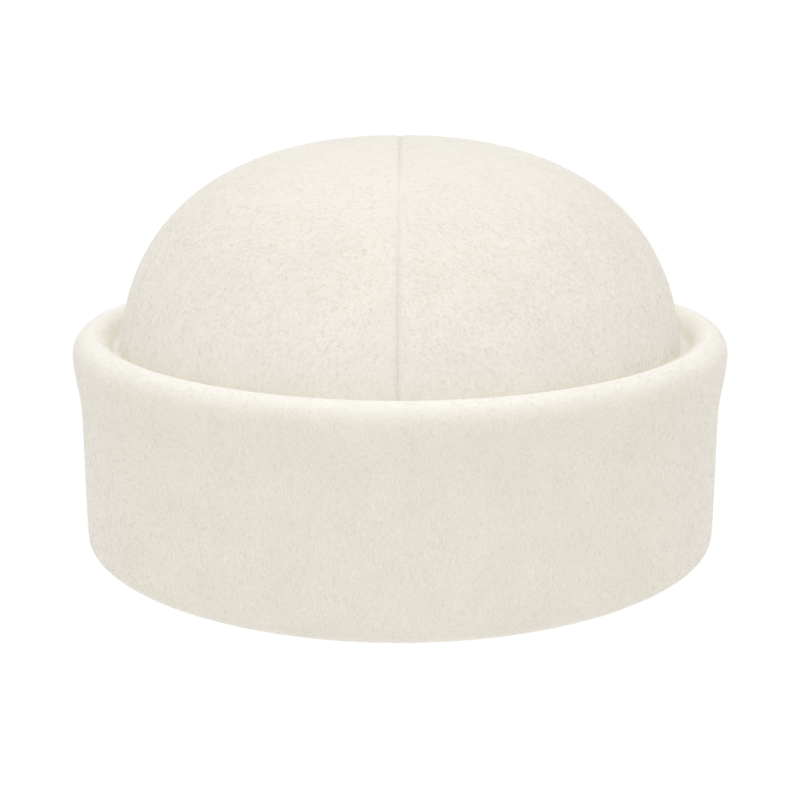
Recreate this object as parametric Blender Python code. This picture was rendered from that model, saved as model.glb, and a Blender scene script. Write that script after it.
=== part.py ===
"""A brimless docker hat of thick cream wool cloth.

Two dome-shaped crown panels meet in a seam that runs from the front over the top to the back.
A deep cuff stands round them: one band of the same cloth, folded over at its top in a soft roll
and turned under at the bottom. Metres, +Z up, and the front of the hat faces -Y.
"""

import math

import bmesh
import bpy

MM = 0.001

# The plan is an egg-shaped oval, as a head is: longer than wide, and narrower at the front.
CUFF_HALF_WIDTH = 96.0 * MM
EXTRA_HALF_LENGTH = 15.4 * MM
EGG = 0.08

# The cloth, and the gap between pieces that touch.
CLOTH = 3.0 * MM
GAP = 0.35 * MM

# The crown: a straight wall up to its shoulder, and a dome above that.
CROWN_HALF_WIDTH = 85.6 * MM
CROWN_HEIGHT = 125.0 * MM
SHOULDER_HEIGHT = 46.9 * MM
DOME_ROUND_POWER = 0.893
DOME_RISE_POWER = 0.763
SEAM_GAP = 0.3 * MM
SEAM_ROUND = 1.0 * MM

# The cuff: its height, the roll on top, the turned edge at the bottom and how its wall leans out.
CUFF_HEIGHT = 67.4 * MM
ROLL_HALF_WIDTH = 5.9 * MM
ROLL_HALF_HEIGHT = 6.65 * MM
TURN_WIDTH = 6.4 * MM
TURN_HEIGHT = 4.9 * MM
LEAN = 1.4 * MM
FLARE = 2.1 * MM
FLARE_START = 43.0 * MM
LAYER_BEND_START = 46.0 * MM

# Heights and half widths that follow from those.
ROLL_CENTRE_HEIGHT = CUFF_HEIGHT - ROLL_HALF_HEIGHT
ROLL_CENTRE = CUFF_HALF_WIDTH + LEAN + FLARE - ROLL_HALF_WIDTH
LAYER_FACE = CROWN_HALF_WIDTH + GAP
HEM_HEIGHT = CLOTH + GAP

# How finely the shapes are faceted.
QUARTER_STEPS = 16
TURN_STEPS = 3
WALL_STEPS = 3
FLARE_STEPS = 4
ROLL_STEPS = 9
POCKET_ROLL_STEPS = 6
BEND_STEPS = 3
SEAM_SEGMENTS = 2
SHARP_ANGLE = math.radians(40)
SAME_POINT = 0.001 * MM

MATERIALS = {
    # piece: colour and roughness
    "crown_left": ((0.87, 0.85, 0.79), 0.95),
    "crown_right": ((0.87, 0.85, 0.79), 0.95),
    "cuff": ((0.84, 0.82, 0.76), 0.95),
}


def clear_scene():
    for old in list(bpy.data.objects):
        bpy.data.objects.remove(old, do_unlink=True)


def spread(first, last, steps):
    """Even values from first to last, both included."""
    return [first + (last - first) * i / steps for i in range(steps + 1)]


def smooth_rise(value, start, end):
    """0 below start, 1 above end, and an S-shaped rise between them."""
    share = min(max((value - start) / (end - start), 0.0), 1.0)
    return share * share * (3.0 - 2.0 * share)


def egg_width(sine):
    """How much wider or narrower the plan is than a plain oval, at this sine of the angle round it."""
    return 1.0 + EGG * sine


def cloth_object(name, bm):
    """The finished mesh as an object with its own wool material, smooth but for its cut edges."""
    mesh = bpy.data.meshes.new(name)
    bm.to_mesh(mesh)
    bm.free()
    mesh.shade_smooth()
    mesh.set_sharp_from_angle(angle=SHARP_ANGLE)
    colour, roughness = MATERIALS[name]
    wool = bpy.data.materials.new(name + "_wool")
    wool.use_nodes = True
    shader = wool.node_tree.nodes["Principled BSDF"]
    shader.inputs["Base Color"].default_value = (*colour, 1.0)
    shader.inputs["Roughness"].default_value = roughness
    shader.inputs["Metallic"].default_value = 0.0
    mesh.materials.append(wool)
    piece = bpy.data.objects.new(name, mesh)
    bpy.context.scene.collection.objects.link(piece)
    return piece


def quarter_ball(bm):
    """A quarter of a unit ball in even quads, x and z positive, open at the seam and at the base."""
    bmesh.ops.create_cube(bm, size=2.0)
    bmesh.ops.subdivide_edges(bm, edges=bm.edges, cuts=QUARTER_STEPS - 1, use_grid_fill=True)
    outside = [v for v in bm.verts if v.co.x < -SAME_POINT or v.co.z < -SAME_POINT]
    bmesh.ops.delete(bm, geom=outside, context="VERTS")
    for vert in bm.verts:
        for axis in range(3):
            vert.co[axis] = math.tan(vert.co[axis] * math.pi / 4.0)
        vert.co.normalize()


def shape_skin(verts, half_width, height):
    """Turns unit ball points into one skin of the dome: round plan and profile first, then the oval."""
    stretch = 1.0 + EXTRA_HALF_LENGTH / half_width
    for vert in verts:
        level = math.hypot(vert.co.x, vert.co.y)
        cosine, sine = (vert.co.x / level, vert.co.y / level) if level > SAME_POINT else (0.0, 0.0)
        radius = half_width * level**DOME_ROUND_POWER
        rise = (height - SHOULDER_HEIGHT) * max(vert.co.z, 0.0) ** DOME_RISE_POWER
        vert.co.x = max(radius * cosine * egg_width(sine), SEAM_GAP / 2)
        vert.co.y = radius * sine * stretch
        vert.co.z = SHOULDER_HEIGHT + rise


def drop_wall(bm, verts):
    """Extrudes the straight wall of one skin from the shoulder down to the hem."""
    at_base = {v for v in verts if abs(v.co.z - SHOULDER_HEIGHT) < SAME_POINT}
    rim = [e for e in bm.edges if e.is_boundary and e.verts[0] in at_base and e.verts[1] in at_base]
    dropped = bmesh.ops.extrude_edge_only(bm, edges=rim)["geom"]
    for vert in dropped:
        if isinstance(vert, bmesh.types.BMVert):
            vert.co.z = HEM_HEIGHT


def crown_panel(name, side):
    """One half of the crown: two skins a cloth's thickness apart, closed at the seam and the hem."""
    bm = bmesh.new()
    quarter_ball(bm)
    outer = list(bm.verts)
    copied = bmesh.ops.duplicate(bm, geom=bm.verts[:] + bm.edges[:] + bm.faces[:])["geom"]
    inner = [v for v in copied if isinstance(v, bmesh.types.BMVert)]
    shape_skin(outer, CROWN_HALF_WIDTH, CROWN_HEIGHT)
    shape_skin(inner, CROWN_HALF_WIDTH - CLOTH, CROWN_HEIGHT - CLOTH)
    drop_wall(bm, outer)
    outer_skin = set(bm.verts) - set(inner)
    drop_wall(bm, inner)
    seam = [
        e for e in bm.edges
        if e.verts[0] in outer_skin and e.verts[1] in outer_skin
        and all(abs(v.co.x - SEAM_GAP / 2) < SAME_POINT for v in e.verts)
    ]
    bmesh.ops.bridge_loops(bm, edges=[e for e in bm.edges if e.is_boundary])
    bmesh.ops.bevel(bm, geom=seam, offset=SEAM_ROUND, offset_type="OFFSET", segments=SEAM_SEGMENTS,
                    profile=0.5, affect="EDGES")
    if side < 0:
        bmesh.ops.scale(bm, vec=(-1, 1, 1), verts=bm.verts)
    bmesh.ops.recalc_face_normals(bm, faces=bm.faces)
    return cloth_object(name, bm)


def wall_face(height):
    """Half width of the cuff's outer face: it leans out a little, and flares into the roll on top."""
    lean = LEAN * (height - TURN_HEIGHT) / (ROLL_CENTRE_HEIGHT - TURN_HEIGHT)
    return CUFF_HALF_WIDTH + lean + FLARE * smooth_rise(height, FLARE_START, ROLL_CENTRE_HEIGHT)


def layer_face(height):
    """Half width of the cuff's inner face: it lies along the crown, then bends out into the roll."""
    bend = ROLL_CENTRE - ROLL_HALF_WIDTH - LAYER_FACE
    return LAYER_FACE + bend * smooth_rise(height, LAYER_BEND_START, ROLL_CENTRE_HEIGHT)


def arc(centre, centre_height, half_width, half_height, first, last, steps):
    """Points on an upright ellipse, between two angles in degrees, 0 at its outer side."""
    return [
        (centre + half_width * math.cos(angle), centre_height + half_height * math.sin(angle))
        for angle in map(math.radians, spread(first, last, steps))
    ]


def cuff_outline():
    """The cuff's section as half widths and heights, once round: outside, over the roll and back inside."""
    turn_centre = CUFF_HALF_WIDTH - TURN_WIDTH
    wall = spread(TURN_HEIGHT, FLARE_START, WALL_STEPS)[1:]
    flare = spread(FLARE_START, ROLL_CENTRE_HEIGHT, FLARE_STEPS)[1:-1]
    bend = spread(ROLL_CENTRE_HEIGHT, LAYER_BEND_START, BEND_STEPS)[1:]
    outline = [(CROWN_HALF_WIDTH - CLOTH, 0.0)]
    outline += arc(turn_centre, TURN_HEIGHT, TURN_WIDTH, TURN_HEIGHT, -90, 0, TURN_STEPS)
    outline += [(wall_face(height), height) for height in wall + flare]
    outline += arc(ROLL_CENTRE, ROLL_CENTRE_HEIGHT, ROLL_HALF_WIDTH, ROLL_HALF_HEIGHT, 0, 180, ROLL_STEPS)
    outline += [(layer_face(height), height) for height in bend + [HEM_HEIGHT]]
    outline += [(layer_face(height) + CLOTH, height) for height in [HEM_HEIGHT] + bend[::-1]]
    outline += arc(ROLL_CENTRE, ROLL_CENTRE_HEIGHT, ROLL_HALF_WIDTH - CLOTH, ROLL_HALF_HEIGHT - CLOTH,
                   180, 0, POCKET_ROLL_STEPS)
    outline += [(wall_face(height) - CLOTH, height) for height in flare[::-1] + [FLARE_START]]
    outline += arc(turn_centre, TURN_HEIGHT, TURN_WIDTH - CLOTH, TURN_HEIGHT - CLOTH, 0, -90, TURN_STEPS)
    outline += [(CROWN_HALF_WIDTH - CLOTH, CLOTH)]
    return outline


def cuff(name):
    """The folded band, spun as a round ring and then laid out along the head's oval."""
    bm = bmesh.new()
    points = [bm.verts.new((half_width, 0.0, height)) for half_width, height in cuff_outline()]
    edges = [bm.edges.new(pair) for pair in zip(points, points[1:] + points[:1])]
    bmesh.ops.spin(bm, geom=points + edges, cent=(0, 0, 0), axis=(0, 0, 1),
                   angle=2 * math.pi, steps=4 * QUARTER_STEPS)
    bmesh.ops.remove_doubles(bm, verts=bm.verts, dist=SAME_POINT)
    for vert in bm.verts:
        radius = math.hypot(vert.co.x, vert.co.y)
        cosine, sine = vert.co.x / radius, vert.co.y / radius
        vert.co.x = radius * cosine * egg_width(sine)
        vert.co.y = (radius + EXTRA_HALF_LENGTH) * sine
    bmesh.ops.recalc_face_normals(bm, faces=bm.faces)
    return cloth_object(name, bm)


clear_scene()
crown_panel("crown_left", 1)
crown_panel("crown_right", -1)
cuff("cuff")
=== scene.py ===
# %% [markdown]
# # A brimless docker hat in brushed cream wool
#
# The hat is sewn from three pieces of thick wool cloth: two crown panels that meet in a seam from front to
# back, and a deep cuff, one band that is folded over at the top in a soft roll. The frame that is loaded
# here holds each of them as a plain solid at its real size. The steps below turn each solid into cloth: a
# smooth skin with a seam that sinks in, a nap of fibres that lies the way it was brushed, and a wool finish.

# %% Load the frame and measure it
import math

import bmesh
import bpy
import numpy as np
from mathutils import Matrix, Vector
from mathutils.bvhtree import BVHTree


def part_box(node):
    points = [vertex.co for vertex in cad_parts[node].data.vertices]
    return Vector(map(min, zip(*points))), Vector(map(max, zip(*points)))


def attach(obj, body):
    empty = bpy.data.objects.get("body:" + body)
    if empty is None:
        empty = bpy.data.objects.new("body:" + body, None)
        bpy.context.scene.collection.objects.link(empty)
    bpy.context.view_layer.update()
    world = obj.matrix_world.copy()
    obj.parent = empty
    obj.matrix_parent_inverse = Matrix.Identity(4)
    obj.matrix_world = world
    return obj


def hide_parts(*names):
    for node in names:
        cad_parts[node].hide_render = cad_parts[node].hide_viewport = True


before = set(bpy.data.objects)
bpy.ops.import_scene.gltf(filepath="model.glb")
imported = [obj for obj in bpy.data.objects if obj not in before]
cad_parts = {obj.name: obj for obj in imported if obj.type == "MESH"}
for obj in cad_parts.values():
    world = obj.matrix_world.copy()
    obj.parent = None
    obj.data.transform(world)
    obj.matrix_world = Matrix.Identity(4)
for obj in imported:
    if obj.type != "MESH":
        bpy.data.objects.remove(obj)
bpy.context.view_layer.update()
crown_low, crown_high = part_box("crown_left")
_, cuff_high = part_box("cuff")

# %% [markdown]
# ## The head oval
#
# Every level of a hat is an egg-shaped oval, longer than wide and narrower at the forehead. It is far easier
# to model a round hat and to lay it on the oval afterwards, as a hatter stretches a round hood over an oval
# block. The numbers here are the ones that the solids were built with: half widths at the side of the head,
# what the oval adds to them front and back, and how egg-shaped it is.

# %% The hat's sizes
MM = 0.001
CLOTH = 3.0 * MM
EXTRA_HALF_LENGTH = 15.4 * MM
EGG = 0.08
HEM_HEIGHT = crown_low.z
CROWN_HALF_WIDTH = crown_high.x
CROWN_HEIGHT = crown_high.z
CUFF_HEIGHT = cuff_high.z


def placed(piece):
    """A piece's points as an array with a row for each."""
    flat = np.empty(3 * len(piece.data.vertices))
    piece.data.vertices.foreach_get("co", flat)
    return flat.reshape(-1, 3)


def place(piece, points):
    """Moves a piece's points to the rows of an array."""
    piece.data.vertices.foreach_set("co", points.ravel())
    piece.data.update()


def smooth_rise(value, start, end):
    """0 before start, 1 after end, and an S-shaped rise between them."""
    share = np.clip((value - start) / (end - start), 0.0, 1.0)
    return share * share * (3.0 - 2.0 * share)


print(f"crown {2 * CROWN_HALF_WIDTH / MM:.0f} mm wide and {CROWN_HEIGHT / MM:.0f} mm high,",
      f"cuff {CUFF_HEIGHT / MM:.0f} mm high")

# %% [markdown]
# ## Working by hand, in code
#
# The pieces are modelled as in Blender's edit mode: a primitive is added, cut, extruded and scaled, and
# modifiers finish it. An operator acts on whatever is selected, so each step says first what that is. Edit
# mode leaves points and faces in an order that changes from run to run, and the fibres that are drawn at
# random on a piece would change with it. So a piece is put in order when it comes out of edit mode.

# %% Helpers for selecting and finishing
SMOOTHING_LEVELS = 2


def start_fresh():
    """Deselects everything, so that the next primitive stands alone."""
    bpy.ops.object.select_all(action="DESELECT")


def pick(piece, wanted, kind="EDGE"):
    """Selects the points, edges or faces that wanted() names. It is called in edit mode."""
    bpy.ops.mesh.select_mode(type=kind)
    bpy.ops.mesh.select_all(action="DESELECT")
    bm = bmesh.from_edit_mesh(piece.data)
    elements = {"VERT": bm.verts, "EDGE": bm.edges, "FACE": bm.faces}[kind]
    for element in elements:
        if wanted(element):
            element.select_set(True)
    bm.select_flush_mode()
    bmesh.update_edit_mesh(piece.data)


def put_in_order(piece):
    """Sorts a piece's points by place, and its faces by their points."""
    points = placed(piece)
    order = np.lexsort(points.T)
    rank = np.empty(len(order), dtype=int)
    rank[order] = np.arange(len(order))
    faces = []
    for face in piece.data.polygons:
        corners = [int(rank[corner]) for corner in face.vertices]
        first = corners.index(min(corners))
        faces.append(corners[first:] + corners[:first])
    piece.data.clear_geometry()
    piece.data.from_pydata(points[order], [], sorted(faces))


def finish_with(piece, kind, **settings):
    """Adds a modifier with these settings and applies it."""
    modifier = piece.modifiers.new(kind.title(), kind)
    for name, value in settings.items():
        setattr(modifier, name, value)
    bpy.context.view_layer.objects.active = piece
    bpy.ops.object.modifier_apply(modifier=modifier.name)


def thicken(piece, face_wool, back_wool, **settings):
    """Makes the skin a cloth: its face in one wool, and its back and cut edges in the other."""
    piece.data.materials.append(face_wool)
    piece.data.materials.append(back_wool)
    finish_with(piece, "SOLIDIFY", thickness=CLOTH, offset=-1.0, material_offset=1, material_offset_rim=1,
                **settings)


def smooth(piece):
    """Rounds the cloth and says how many triangles it has."""
    finish_with(piece, "SUBSURF", levels=SMOOTHING_LEVELS, render_levels=SMOOTHING_LEVELS)
    piece.data.shade_smooth()
    piece.data.calc_loop_triangles()
    print(f"{piece.name}: {len(piece.data.loop_triangles)} triangles")


# %% [markdown]
# ## Wool, the finish of the cloth
#
# Wool cloth of this kind is milled until the weave disappears, and then brushed. What is left to see is a
# matt surface of fine strokes that lie in one direction, slightly uneven in tone. A noise texture that is
# stretched along the strokes draws them and raises them as bump, and a second, much larger one makes the
# tone drift. The dark strokes are weaker than the pale ones, and no stroke is paler than wool can be. The
# patterns read Object coordinates, so they stay on the cloth from every side.

# %% The wool material
ROUGHNESS = 0.95
SPECULAR = 0.12
SHEEN = 0.35
SHEEN_ROUGHNESS = 0.5
STROKE_WIDTH = 0.19 * MM
STROKE_STRETCH = 6.5
STROKE_DETAIL = 2.0
STROKE_WANDER = 0.8
CLOUD_SIZE = 14.0 * MM
CLOUD_DETAIL = 3.0
CLOUD_SHARE = 0.25
DARK_STROKE_TONE = 0.43
PALE_STROKE_TONE = 0.88
SHADOW_SHARE = 0.75
PALEST_WOOL = 0.985
BUMP_HEIGHT = 0.14 * MM


def matt_material(name):
    """A material with the matt finish and soft sheen that all the wool has. Returns it and its shader."""
    material = bpy.data.materials.new(name)
    material.use_nodes = True
    shader = material.node_tree.nodes["Principled BSDF"]
    shader.inputs["Roughness"].default_value = ROUGHNESS
    shader.inputs["Specular IOR Level"].default_value = SPECULAR
    shader.inputs["Sheen Weight"].default_value = SHEEN
    shader.inputs["Sheen Roughness"].default_value = SHEEN_ROUGHNESS
    return material, shader


def math_node(tree, operation, *values):
    """A Math node with these inputs, each a number or another node's output. Returns its output."""
    node = tree.nodes.new("ShaderNodeMath")
    node.operation = operation
    for socket, value in zip(node.inputs, values):
        if isinstance(value, bpy.types.NodeSocket):
            tree.links.new(value, socket)
        else:
            socket.default_value = value
    return node.outputs["Value"]


def wool(name, colour, stroke_turn, contrast, bump):
    """Brushed wool. stroke_turn is how the strokes lie, as angles that turn them from upright."""
    material, shader = matt_material(name)
    tree = material.node_tree
    coordinates = tree.nodes.new("ShaderNodeTexCoord")

    lay = tree.nodes.new("ShaderNodeMapping")
    lay.vector_type = "TEXTURE"
    lay.inputs["Rotation"].default_value = stroke_turn
    lay.inputs["Scale"].default_value = (STROKE_WIDTH, STROKE_WIDTH, STROKE_WIDTH * STROKE_STRETCH)
    tree.links.new(coordinates.outputs["Object"], lay.inputs["Vector"])
    strokes = tree.nodes.new("ShaderNodeTexNoise")
    strokes.inputs["Scale"].default_value = 1.0
    strokes.inputs["Detail"].default_value = STROKE_DETAIL
    strokes.inputs["Distortion"].default_value = STROKE_WANDER
    tree.links.new(lay.outputs["Vector"], strokes.inputs["Vector"])

    clouds = tree.nodes.new("ShaderNodeTexNoise")
    clouds.inputs["Scale"].default_value = 1.0 / CLOUD_SIZE
    clouds.inputs["Detail"].default_value = CLOUD_DETAIL
    tree.links.new(coordinates.outputs["Object"], clouds.inputs["Vector"])

    tone = math_node(tree, "MULTIPLY_ADD", clouds.outputs["Fac"], CLOUD_SHARE, strokes.outputs["Fac"])
    shades = tree.nodes.new("ShaderNodeValToRGB")
    darkest = 1.0 - SHADOW_SHARE * contrast
    brightest = min(1.0 + contrast, PALEST_WOOL / max(colour))
    dark_end, pale_end = shades.color_ramp.elements
    dark_end.position = DARK_STROKE_TONE
    dark_end.color = (*[c * darkest for c in colour], 1.0)
    pale_end.position = PALE_STROKE_TONE
    pale_end.color = (*[c * brightest for c in colour], 1.0)
    tree.links.new(tone, shades.inputs["Fac"])
    tree.links.new(shades.outputs["Color"], shader.inputs["Base Color"])

    relief = tree.nodes.new("ShaderNodeBump")
    relief.inputs["Strength"].default_value = bump
    relief.inputs["Distance"].default_value = BUMP_HEIGHT
    tree.links.new(strokes.outputs["Fac"], relief.inputs["Height"])
    tree.links.new(relief.outputs["Normal"], shader.inputs["Normal"])
    return material


def fibre_shade(name, colour):
    """One shade of loose fibre. Three of them, mixed at random, give the nap its own unevenness."""
    material, shader = matt_material(name)
    shader.inputs["Base Color"].default_value = (*colour, 1.0)
    return material


# %% [markdown]
# ## Painted light, painted shade and a pressed top
#
# The cloth is painted paler in the valley between crown and cuff, on the roll's inner side and on the
# crown's lower part, as painted light that fills the shade there, and on top of the roll as a painted
# highlight, by an attribute that each piece carries. A darker line along the crown's seam is painted shade
# for its groove, but steam has nearly closed the seam above the forehead. Steam has also pressed the crown's
# top, and the strokes are weaker there.

# %% Three changes to a wool
CREAM = (0.85, 0.806, 0.716)
# A pale colour mixed in as painted light and a painted highlight, where the attribute asks for it.
PAINTED_LIGHT_COLOUR = (0.965, 0.942, 0.895)
SEAM_LINE = 0.9 * MM
# The seam's groove gets painted shade, at most this much darker.
SEAM_SHADE = 0.09
STEAMED_PLACE = -60.0 * MM
STEAMED_REACH = 20.0 * MM
STEAMED_SHARE = 0.75
PRESSED_ABOVE = 85.0 * MM
PRESSED_SHARE = 0.45


def mark_painted_light(piece, amounts):
    """Stores on each point, from 0 to 1, how much light is painted into its colour."""
    painted_light = piece.data.attributes.new("painted_light", "FLOAT", "POINT")
    painted_light.data.foreach_set("value", amounts)


def axes(tree, kind):
    """The X, Y and Z of one kind of texture coordinates."""
    coordinates = tree.nodes.new("ShaderNodeTexCoord")
    split = tree.nodes.new("ShaderNodeSeparateXYZ")
    tree.links.new(coordinates.outputs[kind], split.inputs["Vector"])
    return split.outputs


def mix_in(material, amount, colour):
    """Mixes a colour into a material's own one. The amount is another node's output."""
    tree = material.node_tree
    mix = tree.nodes.new("ShaderNodeMix")
    mix.data_type = "RGBA"
    own = tree.nodes["Principled BSDF"].inputs["Base Color"]
    tree.links.new(amount, mix.inputs["Factor"])
    tree.links.new(own.links[0].from_socket, mix.inputs["A"])
    mix.inputs["B"].default_value = (*colour, 1.0)
    tree.links.new(mix.outputs["Result"], own)


def press_top(material):
    """Evens the strokes out towards the crown's top, by nearly half in the end."""
    tree = material.node_tree
    pressed = tree.nodes.new("ShaderNodeMapRange")
    pressed.interpolation_type = "SMOOTHSTEP"
    pressed.inputs["From Min"].default_value = PRESSED_ABOVE
    pressed.inputs["From Max"].default_value = CROWN_HEIGHT
    pressed.inputs["To Max"].default_value = PRESSED_SHARE
    tree.links.new(axes(tree, "Object")["Z"], pressed.inputs["Value"])
    mix_in(material, pressed.outputs["Result"], CREAM)


def paint_light(material):
    """Paints light into the cloth: paler where the piece's own attribute of painted light rises from 0 to 1.
    """
    painted_light = material.node_tree.nodes.new("ShaderNodeAttribute")
    painted_light.attribute_name = "painted_light"
    mix_in(material, painted_light.outputs["Fac"], PAINTED_LIGHT_COLOUR)


def fade_out(tree, position, centre, reach):
    """1 where the position is at centre, and a bell-shaped fall to 0 at a few times reach from it."""
    offset = math_node(tree, "DIVIDE", math_node(tree, "SUBTRACT", position, centre), reach)
    squared = math_node(tree, "MULTIPLY", offset, offset)
    return math_node(tree, "EXPONENT", math_node(tree, "MULTIPLY", squared, -1.0))


def shade_seam(material):
    """Paints shade into the cloth along the crown's seam, over its groove."""
    tree = material.node_tree
    position = axes(tree, "Object")
    line = fade_out(tree, position["X"], 0.0, SEAM_LINE)
    steamed = fade_out(tree, position["Y"], STEAMED_PLACE, STEAMED_REACH)
    kept = math_node(tree, "MULTIPLY_ADD", steamed, -STEAMED_SHARE, 1.0)
    shown = math_node(tree, "MULTIPLY", line, kept)
    light = math_node(tree, "MULTIPLY_ADD", shown, -SEAM_SHADE, 1.0)
    darker = tree.nodes.new("ShaderNodeVectorMath")
    darker.operation = "SCALE"
    own = tree.nodes["Principled BSDF"].inputs["Base Color"]
    tree.links.new(own.links[0].from_socket, darker.inputs["Vector"])
    tree.links.new(light, darker.inputs["Scale"])
    tree.links.new(darker.outputs["Vector"], own)


# %% [markdown]
# ## The hat's own wools
#
# The strokes run diagonally on the crown, away from the seam, and upright on the cuff. The cloth's back,
# seen inside the hat, is smoother. The loose fibres have three shades, a paler, a middle and a deeper one.

# %% Mix the wools
CUFF_CREAM = (0.852, 0.806, 0.705)
PALE_FIBRE = (0.975, 0.935, 0.84)
CREAM_FIBRE = (0.89, 0.846, 0.755)
DEEP_FIBRE = (0.83, 0.788, 0.70)
STROKES_LEFT_PANEL = (0.0, math.radians(-42), 0.0)
STROKES_RIGHT_PANEL = (0.0, math.radians(42), 0.0)
STROKES_UPRIGHT = (0.0, 0.0, 0.0)

crown_left_wool = wool("crown_left_wool", CREAM, STROKES_LEFT_PANEL, contrast=0.15, bump=0.6)
crown_right_wool = wool("crown_right_wool", CREAM, STROKES_RIGHT_PANEL, contrast=0.13, bump=0.5)
cuff_wool = wool("cuff_wool", CUFF_CREAM, STROKES_UPRIGHT, contrast=0.10, bump=0.4)
cloth_back = wool("cloth_back", CREAM, STROKES_UPRIGHT, contrast=0.08, bump=0.3)
# The crowns get painted light low down and painted shade along the seam; the cuff gets painted light in the
# valley and a painted highlight on the roll.
for crown_wool in (crown_left_wool, crown_right_wool):
    press_top(crown_wool)
    paint_light(crown_wool)
    shade_seam(crown_wool)
paint_light(cuff_wool)
fibre_shades = [
    fibre_shade("fibre_pale", PALE_FIBRE),
    fibre_shade("fibre_cream", CREAM_FIBRE),
    fibre_shade("fibre_deep", DEEP_FIBRE),
]
finishes = [crown_left_wool, crown_right_wool, cuff_wool, cloth_back, *fibre_shades]
print("wool finishes:", len(finishes))

# %% [markdown]
# ## The crown panels
#
# Each panel is half of a dome, cut flat, steamed over a block and sewn to its twin. A cube that is pressed
# into a sphere is a better start for it than a UV sphere: its faces are all of one size and there is no pole
# on top, where the light falls. One quarter of that ball is kept, laid on the oval and drawn down into the
# straight wall that stands inside the cuff. The powers round the dome's profile: a plain ball would be too
# pointed for a crown that is steamed flat on top and full at the shoulder.

# %% A skin for one panel
SHOULDER_HEIGHT = 46.9 * MM
DOME_ROUND_POWER = 0.893
DOME_RISE_POWER = 0.763
BALL_CUTS = 21
WALL_STEPS = 3
HALF_SEAM_GAP = 0.005 * MM
SAME_PLACE = 1e-5


def quarter_ball(name, side):
    """A quarter of a ball in even quads: the half towards side, above its middle."""
    start_fresh()
    bpy.ops.mesh.primitive_cube_add(size=2.0)
    ball = bpy.context.object
    ball.name = name
    bpy.ops.object.mode_set(mode="EDIT")
    bpy.ops.mesh.subdivide(number_cuts=BALL_CUTS)
    bpy.ops.transform.tosphere(value=1.0)
    for kept_side in ((side, 0, 0), (0, 0, 1)):
        bpy.ops.mesh.select_all(action="SELECT")
        bpy.ops.mesh.bisect(plane_co=(0, 0, 0), plane_no=kept_side, clear_inner=True)
    bpy.ops.object.mode_set(mode="OBJECT")
    return ball


def dome(points, side):
    """Ball points laid out as the crown's outer face."""
    points = points / np.linalg.norm(points, axis=1)[:, None]
    level = np.hypot(points[:, 0], points[:, 1])
    safe_level = np.maximum(level, SAME_PLACE)
    cosine, sine = points[:, 0] / safe_level, points[:, 1] / safe_level
    rise = np.maximum(points[:, 2], 0.0) ** DOME_RISE_POWER
    radius = CROWN_HALF_WIDTH * level**DOME_ROUND_POWER
    across = side * np.maximum(side * radius * cosine * (1.0 + EGG * sine), HALF_SEAM_GAP)
    along = radius * sine * (1.0 + EXTRA_HALF_LENGTH / CROWN_HALF_WIDTH)
    return np.stack([across, along, SHOULDER_HEIGHT + (CROWN_HEIGHT - SHOULDER_HEIGHT) * rise], axis=1)


def at_shoulder(edge):
    return edge.is_boundary and all(v.co.z < SHOULDER_HEIGHT + SAME_PLACE for v in edge.verts)


def draw_down_wall(panel):
    """Extrudes the open rim at the shoulder down to the hem."""
    bpy.ops.object.mode_set(mode="EDIT")
    pick(panel, at_shoulder)
    step = (HEM_HEIGHT - SHOULDER_HEIGHT) / WALL_STEPS
    for _ in range(WALL_STEPS):
        bpy.ops.mesh.extrude_edges_move(TRANSFORM_OT_translate={"value": (0, 0, step)})
    bpy.ops.object.mode_set(mode="OBJECT")


# %% [markdown]
# ## The seam
#
# Where the panels meet, the stitches pull the cloth in: a furrow about a millimetre wide on each side, in a
# hollow that fades out over two or three. The skin has faces of about 6 mm, too coarse for that, so it is
# bisected in planes beside the seam first. Inside the hat the cut edges are turned back and pressed open,
# and they show as a flat ridge on each side of the seam. The points of the outer face are sunk, and those of
# the inner face raised, by rules of their distance from the seam.

# %% The seam's loops, its hollow and the ridge inside
SEAM_LOOPS = (0.35 * MM, 0.9 * MM, 1.8 * MM, 3.4 * MM, 5.6 * MM, 6.6 * MM)
SEAM_DEPTH = 0.4 * MM
SEAM_LIP = 0.9 * MM
SEAM_LIP_POWER = 1.5
HOLLOW_DEPTH = 0.15 * MM
HOLLOW_REACH = 2.4 * MM
TURNED_EDGE = 6.0 * MM
TURNED_EDGE_SLOPE = 0.5 * MM
RIDGE_HEIGHT = 0.9 * MM


def seam_dip(points):
    """How deep the outer face lies beside the stitches, less so where steam has nearly closed the seam."""
    distance = np.abs(points[:, 0])
    steamed = STEAMED_SHARE * np.exp(-((points[:, 1] - STEAMED_PLACE) / STEAMED_REACH) ** 2)
    lip = SEAM_DEPTH * np.exp(-(distance / SEAM_LIP) ** SEAM_LIP_POWER)
    return (1.0 - steamed) * (lip + HOLLOW_DEPTH * np.exp(-(distance / HOLLOW_REACH) ** 2))


def cut_seam_loops(panel, side):
    """Loops beside the seam, where the hollow and the ridge need points."""
    bpy.ops.object.mode_set(mode="EDIT")
    for distance in SEAM_LOOPS:
        bpy.ops.mesh.select_all(action="SELECT")
        bpy.ops.mesh.bisect(plane_co=(side * distance, 0, 0), plane_no=(1, 0, 0))
    bpy.ops.object.mode_set(mode="OBJECT")


def inward(points):
    """Unit directions, parallel to the seam's plane, from the crown's face to the inside: level on the wall
    and steep on top."""
    centre = np.zeros_like(points)
    centre[:, 2] = np.minimum(points[:, 2], SHOULDER_HEIGHT)
    away = centre - points
    away[:, 0] = 0.0
    return away / np.maximum(np.linalg.norm(away, axis=1), SAME_PLACE)[:, None]


# %% Build both panels
# From 100 mm down to 55 mm the crown is painted paler: painted light that fills the shade of the cuff and
# roll.
CROWN_PAINTED_LIGHT_STARTS = 100.0 * MM
CROWN_PAINTED_LIGHT_FULL = 55.0 * MM
CROWN_PAINTED_LIGHT_SHARE = 0.45


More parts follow.
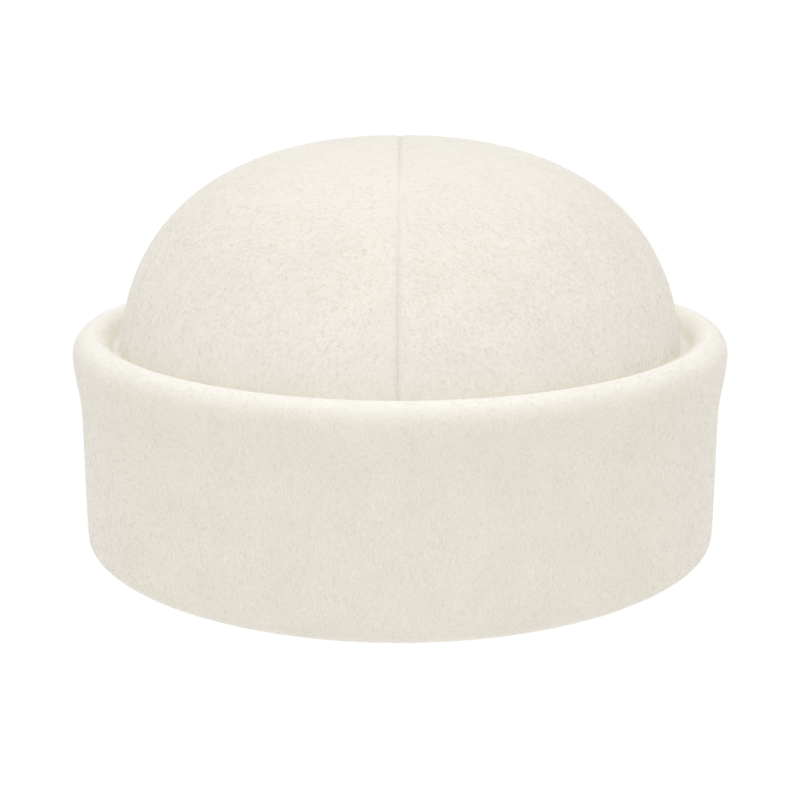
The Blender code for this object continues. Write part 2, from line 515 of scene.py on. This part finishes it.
def crown_panel(name, side, face_wool):
    """One half of the crown, on the side +1 or -1 of the seam."""
    panel = quarter_ball(name, side)
    place(panel, dome(placed(panel), side))
    draw_down_wall(panel)
    cut_seam_loops(panel, side)
    put_in_order(panel)
    # The crown's lower part gets painted light, filling the shade of the cuff and roll.
    mark_painted_light(panel, CROWN_PAINTED_LIGHT_SHARE * smooth_rise(placed(panel)[:, 2], CROWN_PAINTED_LIGHT_STARTS, CROWN_PAINTED_LIGHT_FULL))
    outer_count = len(panel.data.vertices)
    thicken(panel, face_wool, cloth_back, edge_crease_outer=1.0)
    points = placed(panel)
    outer = np.arange(len(points)) < outer_count
    beyond_edge = smooth_rise(np.abs(points[:, 0]), TURNED_EDGE - TURNED_EDGE_SLOPE,
                              TURNED_EDGE + TURNED_EDGE_SLOPE)
    ridge = RIDGE_HEIGHT * (1.0 - beyond_edge)
    points += inward(points) * np.where(outer, seam_dip(points), ridge)[:, None]
    points[:, 0] = side * np.maximum(side * points[:, 0], HALF_SEAM_GAP)
    place(panel, points)
    smooth(panel)
    return panel


crown_left = crown_panel("crown_left_cloth", 1, crown_left_wool)
crown_right = crown_panel("crown_right_cloth", -1, crown_right_wool)

# %% [markdown]
# ## The cuff
#
# The cuff is one band of the same cloth. It starts at the turned edge under the hat, goes up the outside,
# over the roll, and down again between the wall and the crown. One skin that follows all of this, and then
# gets the cloth's thickness, shows the pocket between the two layers as on the real hat. It is built like a
# pot on a wheel: a circle is extruded from level to level and scaled to each level's half width. The list of
# levels is the cuff's section. Behind the roll it comes down to a narrow valley beside the crown, and is
# tucked under the crown's face there before it goes on down.

# %% The cuff's section, level by level
CUFF_HALF_WIDTH = 96.0 * MM
ROLL_HALF_WIDTH = 5.9 * MM
ROLL_HALF_HEIGHT = 6.65 * MM
TURN_WIDTH = 6.4 * MM
TURN_HEIGHT = 4.9 * MM
LEAN = 1.4 * MM
FLARE = 2.1 * MM
FLARE_START = 43.0 * MM
LAYER_GAP = 0.05 * MM
VALLEY_FLOOR = 61.7 * MM
VALLEY_WIDTH = 1.5 * MM
VALLEY_DEPTH = 1.3 * MM
TUCK = 1.0 * MM
TUCK_BELOW_VALLEY = 0.5 * MM
TUCK_LENGTH = 1.0 * MM
ROLL_CENTRE_HEIGHT = CUFF_HEIGHT - ROLL_HALF_HEIGHT
ROLL_CENTRE = CUFF_HALF_WIDTH + LEAN + FLARE - ROLL_HALF_WIDTH
TURN_STEPS = 4
OUTSIDE_STEPS = 4
FLARE_STEPS = 4
ROLL_STEPS = 9
ROLL_END = 160
VALLEY_STEPS = 3
LAYER_STEPS = 7


def wall_face(height):
    """Half width of the outer face: it leans out a little, and flares into the roll."""
    lean = LEAN * (height - TURN_HEIGHT) / (ROLL_CENTRE_HEIGHT - TURN_HEIGHT)
    return CUFF_HALF_WIDTH + lean + FLARE * smooth_rise(height, FLARE_START, ROLL_CENTRE_HEIGHT)


def layer_face(height):
    """Half width of the inner layer, which lies against the crown."""
    rise = max(height - SHOULDER_HEIGHT, 0.0) / (CROWN_HEIGHT - SHOULDER_HEIGHT)
    level = math.sqrt(1.0 - rise ** (2.0 / DOME_RISE_POWER))
    return CROWN_HALF_WIDTH * level**DOME_ROUND_POWER + LAYER_GAP


def arc(centre, half_width, half_height, first, last, steps):
    """Levels along an upright ellipse, between two angles in degrees, 0 at its outer side."""
    angles = np.radians(np.linspace(first, last, steps + 1))
    return [(centre[0] + half_width * math.cos(a), centre[1] + half_height * math.sin(a)) for a in angles]


def cuff_levels():
    """Half width and height of each level, from the strip under the hat over the roll to the inner hem."""
    turn = (CUFF_HALF_WIDTH - TURN_WIDTH, TURN_HEIGHT)
    roll = (ROLL_CENTRE, ROLL_CENTRE_HEIGHT)
    valley = (ROLL_CENTRE - ROLL_HALF_WIDTH - VALLEY_WIDTH, VALLEY_FLOOR + VALLEY_DEPTH)
    wall = np.linspace(TURN_HEIGHT, FLARE_START, OUTSIDE_STEPS + 1)[1:]
    flare = np.linspace(FLARE_START, ROLL_CENTRE_HEIGHT, FLARE_STEPS + 1)[1:-1]
    layer = np.linspace(VALLEY_FLOOR - TUCK_BELOW_VALLEY, HEM_HEIGHT, LAYER_STEPS + 1)
    tucked = layer[0] - TUCK_LENGTH
    levels = [(CROWN_HALF_WIDTH - CLOTH, 0.0)]
    levels += arc(turn, TURN_WIDTH, TURN_HEIGHT, -90, 0, TURN_STEPS)
    levels += [(float(wall_face(height)), height) for height in (*wall, *flare)]
    levels += arc(roll, ROLL_HALF_WIDTH, ROLL_HALF_HEIGHT, 0, ROLL_END, ROLL_STEPS)
    levels += arc(valley, VALLEY_WIDTH, VALLEY_DEPTH, 0, -90, VALLEY_STEPS)[1:]
    levels += [(layer_face(layer[0]) - TUCK, layer[0]), (layer_face(tucked), tucked)]
    levels += [(layer_face(height), height) for height in layer[1:]]
    return levels


# %% [markdown]
# ## Shaping the cuff
#
# After the extrusions the skin is still round. It is laid on the oval, its closing seam at the back sinks
# in like the crown's, and it gets its thickness on the pocket side. A band needs such a seam, and the
# photograph hides it, so it is a plain one at the centre back.

# %% Build the cuff
RING_STEPS = 72
BACK_SEAM_LOOPS = (-2.2 * MM, -0.9 * MM, -0.3 * MM, 0.3 * MM, 0.9 * MM, 2.2 * MM)
BACK_SEAM_SHARE = 0.8
# Painted light on the roll's inner side, against the valley's shade, and a painted highlight on the roll's
# top.
CUFF_PAINTED_LIGHT_SHARE = 0.45
ROLL_INSIDE = 2.0 * MM
ROLL_PAINTED_HIGHLIGHT_SHARE = 0.55
ROLL_PAINTED_HIGHLIGHT_START = 62.5 * MM


def round_band(name):
    """The cuff as a round skin, extruded from level to level."""
    levels = cuff_levels()
    start_fresh()
    bpy.ops.mesh.primitive_circle_add(vertices=RING_STEPS, radius=levels[0][0])
    band = bpy.context.object
    band.name = name
    bpy.ops.object.mode_set(mode="EDIT")
    bpy.ops.mesh.select_mode(type="EDGE")
    bpy.ops.mesh.select_all(action="SELECT")
    for (last_width, last_height), (half_width, height) in zip(levels, levels[1:]):
        bpy.ops.mesh.extrude_edges_move(TRANSFORM_OT_translate={"value": (0, 0, height - last_height)})
        grow = half_width / last_width
        bpy.ops.transform.resize(value=(grow, grow, 1.0))
    bpy.ops.mesh.select_all(action="SELECT")
    bpy.ops.mesh.normals_make_consistent(inside=False)
    bpy.ops.object.mode_set(mode="OBJECT")
    return band


def cut_back_seam(band):
    """Loops beside the centre back, on that half of the band alone."""
    bpy.ops.object.mode_set(mode="EDIT")
    for across in BACK_SEAM_LOOPS:
        pick(band, lambda face: face.calc_center_median().y > 0, "FACE")
        bpy.ops.mesh.bisect(plane_co=(across, 0, 0), plane_no=(1, 0, 0))
    bpy.ops.object.mode_set(mode="OBJECT")


def lay_on_oval(points):
    """The points of a round band, moved out to the head's oval."""
    radius = np.hypot(points[:, 0], points[:, 1])
    cosine, sine = points[:, 0] / radius, points[:, 1] / radius
    across = radius * cosine * (1.0 + EGG * sine)
    along = (radius + EXTRA_HALF_LENGTH) * sine
    return np.stack([across, along, points[:, 2]], axis=1)


def sink_back_seam(points):
    """Pulls the wall and the roll in at the centre back. The inner layer, which nobody sees, stays."""
    roll_middle = ROLL_CENTRE + EXTRA_HALF_LENGTH
    above = np.maximum(points[:, 2] - ROLL_CENTRE_HEIGHT, 0.0)
    shown = (points[:, 1] > 0) & ((points[:, 1] > roll_middle) | (above > 0))
    towards = np.stack([np.zeros(len(points)), roll_middle - points[:, 1], -above], axis=1)
    towards /= np.maximum(np.linalg.norm(towards, axis=1), SAME_PLACE)[:, None]
    return points + towards * np.where(shown, BACK_SEAM_SHARE * seam_dip(points), 0.0)[:, None]


def cuff(name):
    """The whole folded band."""
    band = round_band(name)
    cut_back_seam(band)
    put_in_order(band)
    radius = np.hypot(*placed(band)[:, :2].T)
    # Light painted into the colour: on the roll's inner side against the valley's shade, and on its top as a
    # painted highlight.
    inside = CUFF_PAINTED_LIGHT_SHARE * smooth_rise(radius, ROLL_CENTRE - ROLL_INSIDE, ROLL_CENTRE - ROLL_HALF_WIDTH)
    roll_highlight = ROLL_PAINTED_HIGHLIGHT_SHARE * smooth_rise(placed(band)[:, 2], ROLL_PAINTED_HIGHLIGHT_START, CUFF_HEIGHT)
    mark_painted_light(band, np.maximum(inside, roll_highlight))
    place(band, sink_back_seam(lay_on_oval(placed(band))))
    thicken(band, cuff_wool, cloth_back)
    smooth(band)
    return band


cuff_band = cuff("cuff_cloth")

# %% [markdown]
# ## The nap
#
# Brushing pulls fibre ends out of the cloth and lays them over it, and they are what softens every edge of
# the hat. A particle system could comb them, but its hairs are not a mesh, so each fibre is modelled here: a
# thin closed spindle with a bend in the middle, six faces in all. The first step scatters roots over the
# brushed side of a cloth, as many on each face as its area asks for, and finds for each one the direction in
# which the cloth was brushed.

# %% Scatter roots and comb them
NAP_TURN = math.radians(32)


def scatter(cloth, wanted, count, draw):
    """Roots on the brushed side, and the cloth's outward directions there. wanted() weighs each place."""
    mesh = cloth.data
    mesh.calc_loop_triangles()
    corners = np.empty(3 * len(mesh.loop_triangles), dtype=np.int32)
    sides = np.empty(len(mesh.loop_triangles), dtype=np.int32)
    mesh.loop_triangles.foreach_get("vertices", corners)
    mesh.loop_triangles.foreach_get("material_index", sides)
    corners = corners.reshape(-1, 3)[sides == 0]
    points = placed(cloth)[corners]
    normals = np.empty(3 * len(mesh.vertices))
    mesh.vertices.foreach_get("normal", normals)
    normals = normals.reshape(-1, 3)[corners]
    area = np.linalg.norm(np.cross(points[:, 1] - points[:, 0], points[:, 2] - points[:, 0]), axis=1)
    weight = area * wanted(points.mean(axis=1), normals.mean(axis=1))
    chosen = draw.choice(len(corners), size=count, p=weight / weight.sum())
    first, second = np.sqrt(draw.random(count)), draw.random(count)
    shares = np.stack([1.0 - first, first * (1.0 - second), first * second], axis=1)[:, :, None]
    roots = (points[chosen] * shares).sum(axis=1)
    outward = (normals[chosen] * shares).sum(axis=1)
    return roots, outward / np.linalg.norm(outward, axis=1)[:, None]


def combed(brushed, outward, draw):
    """Unit directions along the cloth, the way it was brushed, each turned a little at random, and the
    directions across them."""
    along = brushed - outward * (brushed * outward).sum(axis=1)[:, None]
    along /= np.maximum(np.linalg.norm(along, axis=1), SAME_PLACE)[:, None]
    turn = draw.normal(0.0, NAP_TURN, len(along))[:, None]
    across = np.cross(outward, along)
    along = along * np.cos(turn) + across * np.sin(turn)
    return along, np.cross(outward, along)


# %% [markdown]
# ## From root to tip
#
# A fibre starts just under the cloth's face, rises to its middle and comes down to its tip. Middle and tip
# are laid over the cloth below them, so that fibres follow the roll and the dome. Most lie close. One in ten
# is a stray that stands off further, and these soften the outline.

# %% Grow the fibres
FIBRE_WIDTH = 0.17 * MM
FIBRE_FLATNESS = 0.45
FIBRE_CURL = 0.16
ROOT_DEPTH = 0.04 * MM
MIDDLE_AT = 0.5
TIP_AT = 0.95
LENGTH_SHARES = (0.45, 1.0)
WIDTH_SHARES = (0.6, 1.1)
LIFT_SHARES = (0.3, 1.0)
TIP_LIFT_SHARES = (0.2, 1.3)
NAP_LIFT = 0.06 * MM
STRAY_SHARE = 0.10
STRAY_LIFT = 4.0
SPINDLE = np.array([(0, 1, 2), (0, 2, 3), (0, 3, 1), (4, 2, 1), (4, 3, 2), (4, 1, 3)])


def on_cloth(surface, points, heights):
    """The points moved to these heights above the cloth below them."""
    moved = np.empty_like(points)
    for i, point in enumerate(points):
        found, normal, _, _ = surface.find_nearest(point)
        moved[i] = found + normal * heights[i]
    return moved


def nap(name, cloth, brushed, wanted, count, longest, seed):
    """Fibres over one cloth, joined in one mesh. brushed is the direction in which it was brushed."""
    draw = np.random.default_rng(seed)
    roots, outward = scatter(cloth, wanted, count, draw)
    along, across = combed(brushed, outward, draw)
    length = (longest * draw.uniform(*LENGTH_SHARES, count))[:, None]
    curl = draw.normal(0.0, FIBRE_CURL, (count, 2))
    stray = draw.random(count) < STRAY_SHARE
    height = NAP_LIFT * draw.uniform(*LIFT_SHARES, count) * np.where(stray, STRAY_LIFT, 1.0)
    cloth_faces = [face.vertices for face in cloth.data.polygons]
    surface = BVHTree.FromPolygons([v.co for v in cloth.data.vertices], cloth_faces)
    middles = on_cloth(surface, roots + length * (MIDDLE_AT * along + curl[:, :1] * across), height)
    tip_height = height * draw.uniform(*TIP_LIFT_SHARES, count)
    tips = on_cloth(surface, roots + length * (TIP_AT * along + curl[:, 1:] * across), tip_height)
    roots = roots - outward * ROOT_DEPTH
    half_width = 0.5 * FIBRE_WIDTH * draw.uniform(*WIDTH_SHARES, count)[:, None]
    ridge = middles + outward * half_width * FIBRE_FLATNESS
    side = middles + across * half_width
    other_side = middles - across * half_width
    points = np.stack([roots, ridge, side, other_side, tips], axis=1)
    faces = (np.arange(count)[:, None, None] * points.shape[1] + SPINDLE).reshape(-1, 3)
    mesh = bpy.data.meshes.new(name)
    mesh.from_pydata(points.reshape(-1, 3), [], faces)
    for shade in fibre_shades:
        mesh.materials.append(shade)
    shade_of_fibre = draw.integers(0, len(fibre_shades), count)
    mesh.polygons.foreach_set("material_index", np.repeat(shade_of_fibre, len(SPINDLE)))
    piece = bpy.data.objects.new(name, mesh)
    bpy.context.scene.collection.objects.link(piece)
    print(f"{name}: {count} fibres, {len(faces)} triangles")
    return piece


# %% [markdown]
# ## Brushing each piece
#
# The crown is brushed down from the top, away from the seam and a little forward, so the strokes run
# diagonally on each side of the face. The cuff is brushed from its rim downwards. No fibres grow where the
# hat covers itself: on the crown's wall inside the cuff, and on the cuff's inner layer.

# %% Brush the crown and the cuff
CROWN_FIBRES = 27000
CUFF_FIBRES = 27000
CROWN_NAP_LENGTH = 2.3 * MM
CUFF_NAP_LENGTH = 1.9 * MM
COVERED_BELOW = 62.5 * MM
FLATTENED_ABOVE = 100.0 * MM
FLATTENED_SHARE = 0.8
RUBBED_BELOW = 85.0 * MM
RUBBED_SHARE = 0.6
FACING_OUT = 0.2
BRUSHED_LEFT = np.array((0.75, -0.15, -1.0))
BRUSHED_RIGHT = np.array((-0.75, -0.15, -1.0))
BRUSHED_DOWN = np.array((0.0, 0.0, -1.0))


def above_cuff(points, outward):
    """What shows of the crown. It has fewer loose fibres on top, where it was steamed flat, and at its foot,
    where the cuff rubs it."""
    flattened = FLATTENED_SHARE * smooth_rise(points[:, 2], FLATTENED_ABOVE, CROWN_HEIGHT)
    rubbed = RUBBED_SHARE * smooth_rise(points[:, 2], RUBBED_BELOW, COVERED_BELOW)
    return (points[:, 2] > COVERED_BELOW) * (1.0 - flattened) * (1.0 - rubbed)


def outside_cuff(points, outward):
    """What faces away from the head, and the roll's inner side down to the line that the crown covers."""
    away = (outward[:, :2] * points[:, :2]).sum(axis=1) > FACING_OUT * np.hypot(points[:, 0], points[:, 1])
    return (away | (points[:, 2] > COVERED_BELOW)).astype(float)


crown_left_nap = nap("crown_left_nap", crown_left, BRUSHED_LEFT, above_cuff,
                     CROWN_FIBRES, CROWN_NAP_LENGTH, seed=1)
crown_right_nap = nap("crown_right_nap", crown_right, BRUSHED_RIGHT, above_cuff,
                      CROWN_FIBRES, CROWN_NAP_LENGTH, seed=2)
cuff_nap = nap("cuff_nap", cuff_band, BRUSHED_DOWN, outside_cuff,
               CUFF_FIBRES, CUFF_NAP_LENGTH, seed=3)
cuff_under_nap = nap("cuff_under_nap", cuff_band, BRUSHED_DOWN, outside_cuff,
                     CUFF_FIBRES, CUFF_NAP_LENGTH, seed=4)

# %% [markdown]
# ## The floor
#
# Catalogue pictures of pale clothes are taken on a white table, and the picture's background is then cut out
# to pure white. The floor here stands for that: it glows white for the camera, and its glow is kept off the
# cloth.

# %% Lay the floor
FLOOR_SIZE = 30.0
FLOOR_TONE = 0.04
FLOOR_GLOW = 0.98


def floor_material():
    """Nearly black for the lamp's light, so that no shadow shows, and white by its own glow."""
    material = bpy.data.materials.new("white_table")
    material.use_nodes = True
    shader = material.node_tree.nodes["Principled BSDF"]
    shader.inputs["Base Color"].default_value = (FLOOR_TONE, FLOOR_TONE, FLOOR_TONE, 1.0)
    shader.inputs["Roughness"].default_value = 1.0
    shader.inputs["Specular IOR Level"].default_value = 0.0
    shader.inputs["Emission Color"].default_value = (1.0, 1.0, 1.0, 1.0)
    shader.inputs["Emission Strength"].default_value = FLOOR_GLOW
    return material


start_fresh()
bpy.ops.mesh.primitive_plane_add(size=FLOOR_SIZE)
floor = bpy.context.object
floor.name = "floor"
floor.visible_diffuse = False
floor.data.materials.append(floor_material())

# %% [markdown]
# ## The light
#
# The light in such a picture comes from everywhere, with one large soft lamp above and in front. The world
# gives the even light. It is brightest slantwise from below, as a white table throws the light back, and
# weaker from straight below, where the hat shades the table. Its brightness is set at three places, counted
# from 0, straight down, to 1, straight up.

# %% Light the hat
LIGHT_UNDER_HAT = 0.8
LIGHT_FROM_TABLE = 1.32
LIGHT_ABOVE = 0.775
UNDER_HAT = 0.02
TOWARDS_TABLE = 0.125
TABLE_ENDS = 0.35
LAMP_SIZE = 2.4
LAMP_PLACE = Vector((-0.02, -0.58, 1.8))
LAMP_TARGET = Vector((0.0, 0.0, 0.05))
LAMP_WATTS = 16.2
LAMP_COLOUR = (0.94, 0.97, 1.0)

world = bpy.data.worlds.new("white_room")
world.use_nodes = True
room = world.node_tree
room.nodes["Background"].inputs["Strength"].default_value = 1.0
from_straight_down = math_node(room, "MULTIPLY_ADD", axes(room, "Generated")["Z"], 0.5, 0.5)
brightness = room.nodes.new("ShaderNodeValToRGB")
stops = brightness.color_ramp.elements
stops[0].position = UNDER_HAT
stops[1].position = TABLE_ENDS
stops.new(TOWARDS_TABLE)
for stop, light in zip(stops, (LIGHT_UNDER_HAT, LIGHT_FROM_TABLE, LIGHT_ABOVE)):
    stop.color = (light, light, light, 1.0)
room.links.new(from_straight_down, brightness.inputs["Fac"])
room.links.new(brightness.outputs["Color"], room.nodes["Background"].inputs["Color"])
bpy.context.scene.world = world

lamp_data = bpy.data.lights.new("soft_lamp", "AREA")
lamp_data.shape = "DISK"
lamp_data.size = LAMP_SIZE
lamp_data.energy = LAMP_WATTS
lamp_data.color = LAMP_COLOUR
lamp = bpy.data.objects.new("soft_lamp", lamp_data)
lamp.location = LAMP_PLACE
lamp.rotation_euler = (LAMP_TARGET - LAMP_PLACE).to_track_quat("-Z", "Y").to_euler()
bpy.context.scene.collection.objects.link(lamp)

# %% [markdown]
# ## The camera
#
# It stands where the photograph's did, worked out from the outlines of the cuff and the crown: a long lens,
# a little above the hat and looking down on it.

# %% Set up the camera
CAMERA_PLACE = Vector((0.0, -0.7963, 0.2084))
CAMERA_PITCH = math.radians(11.58)
CAMERA_TURN = math.radians(0.4)
LENS = 119.9
SENSOR_WIDTH = 36.0

camera_data = bpy.data.cameras.new("camera")
camera_data.lens = LENS
camera_data.sensor_width = SENSOR_WIDTH
camera = bpy.data.objects.new("camera", camera_data)
camera.matrix_world = (
    Matrix.Rotation(CAMERA_TURN, 4, "Z")
    @ Matrix.Translation(CAMERA_PLACE)
    @ Matrix.Rotation(math.pi / 2 - CAMERA_PITCH, 4, "X")
)
bpy.context.scene.collection.objects.link(camera)
bpy.context.scene.camera = camera
bpy.context.scene.view_settings.view_transform = "Standard"
print("camera at", [round(c, 3) for c in camera.location])

# %% [markdown]
# ## What each piece is
#
# Every piece moves with the hat, and each cloth stands in for its solid, which is hidden. A cutter would lay
# the cloths out flat as two half-oval panels, stretched a little as they are steamed over the block, and one
# long band.

for piece, node, slot in (
    (crown_left, "crown_left", "crown_wool"),
    (crown_right, "crown_right", "crown_wool"),
    (cuff_band, "cuff", "cuff_wool"),
):
    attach(piece, "root")
    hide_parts(node)

for piece, slot in (
    (crown_left_nap, "crown_wool"),
    (crown_right_nap, "crown_wool"),
    (cuff_nap, "cuff_wool"),
    (cuff_under_nap, "cuff_wool"),
):
    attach(piece, "root")
